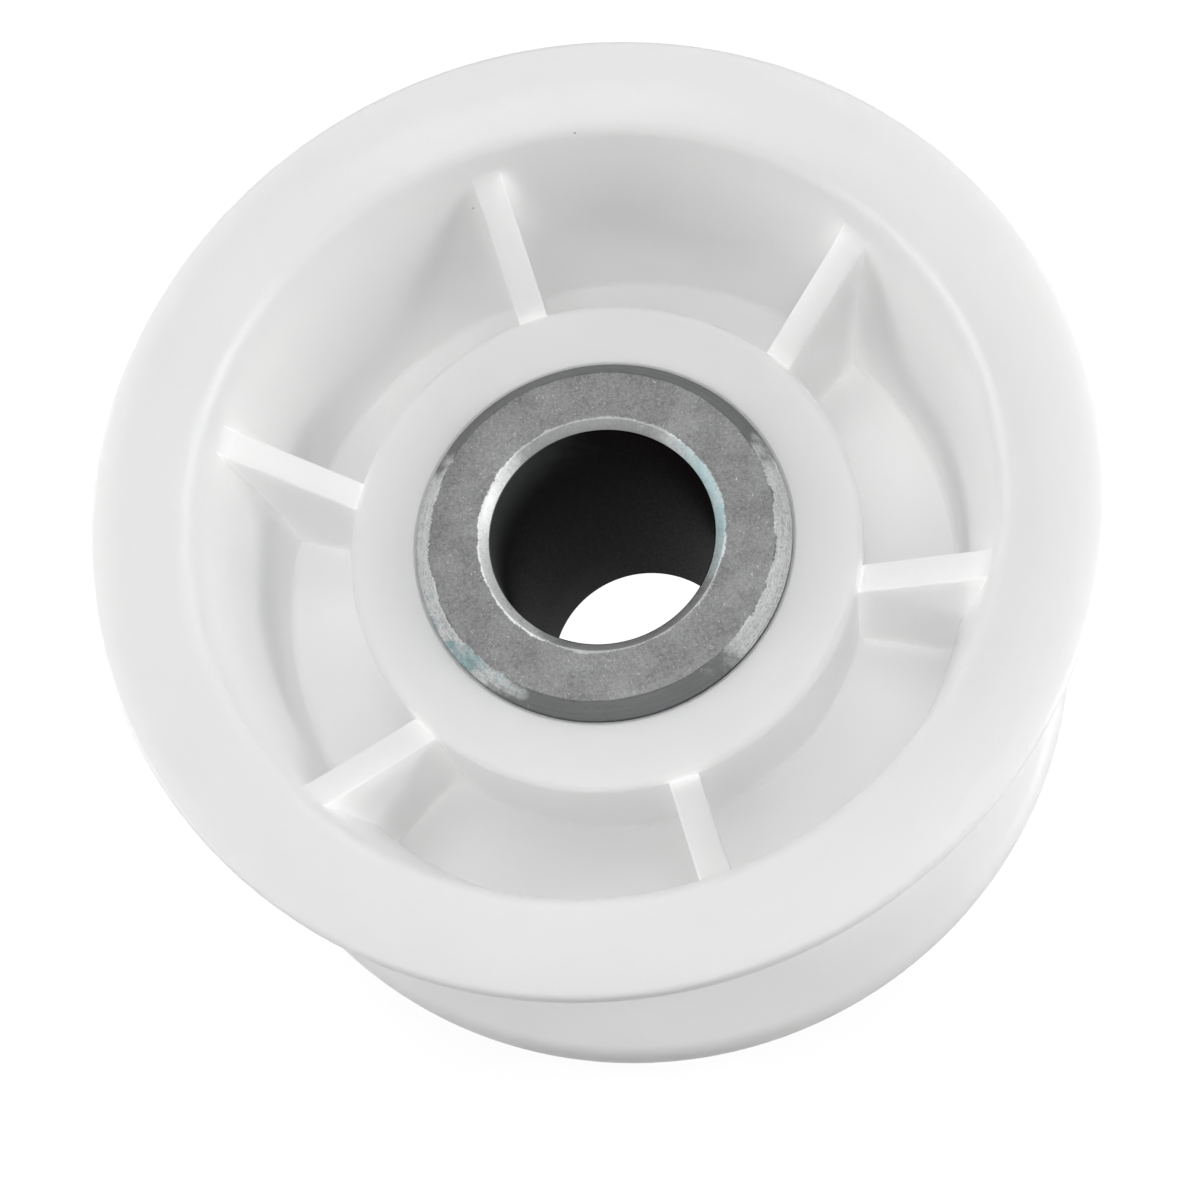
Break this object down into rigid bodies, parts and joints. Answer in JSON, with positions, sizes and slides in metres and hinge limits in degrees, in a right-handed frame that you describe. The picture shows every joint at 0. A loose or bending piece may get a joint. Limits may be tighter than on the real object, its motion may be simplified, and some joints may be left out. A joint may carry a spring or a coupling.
{
  "type": "dryer idler pulley",
  "caption": "Flanged white moulded belt idler pulley with ribbed pockets, pressed onto a chamfered sintered metal bush with a plain through bore.",
  "frame": {"origin": "on the pulley's axis, in the plane of the bush's rear end, which is the lowest face", "axes": "+Z along the pulley's axis towards its deep front side; +X along the middle of one rib"},
  "size_m": [0.054, 0.054, 0.0332],
  "materials": {
    "white_nylon": "satin as-moulded milky white nylon",
    "sintered_metal": "grainy grey sintered metal with bright burnished chamfers"
  },
  "bodies": {
    "root": {"moulded_wheel": "white_nylon", "sintered_bush": "sintered_metal"}
  },
  "joints": []
}
